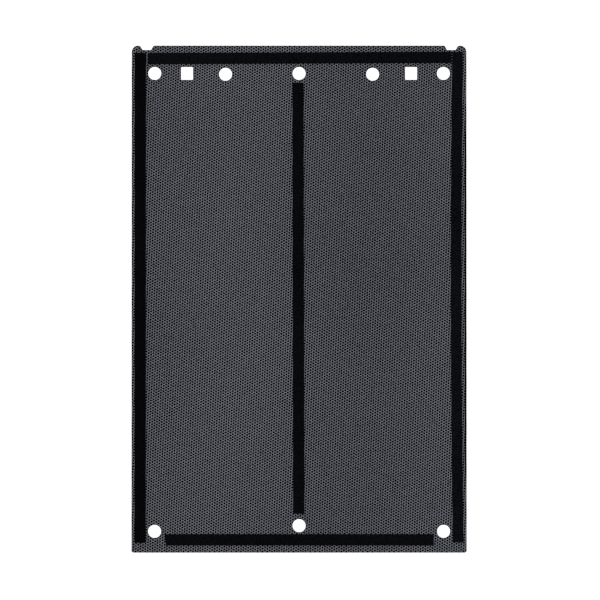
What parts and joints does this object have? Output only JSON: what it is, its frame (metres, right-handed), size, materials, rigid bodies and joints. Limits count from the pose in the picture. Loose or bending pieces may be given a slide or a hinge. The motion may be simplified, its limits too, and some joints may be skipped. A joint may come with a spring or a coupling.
{
  "type": "computer case dust panel",
  "caption": "Flat perforated sheet with ears, notches and round and square cut-outs, and magnetic strips on one face that hold it to a computer case as a dust filter.",
  "frame": {"origin": "middle of the sheet, on its outer face, which is the face it lies on", "axes": "+X to the right and +Y to the eared top edge, seen from the strips' side; +Z out of the sheet on the strips' side"},
  "size_m": [0.242, 0.3664, 0.0025],
  "materials": {
    "mesh_plastic": "matte dark grey perforated film",
    "magnet_strip": "matte black rubber-bonded magnet"
  },
  "bodies": {
    "root": {"mesh_sheet": "mesh_plastic", "left_strip": "magnet_strip", "right_strip": "magnet_strip", "centre_strip": "magnet_strip", "top_strip": "magnet_strip", "bottom_strip": "magnet_strip"}
  },
  "joints": []
}
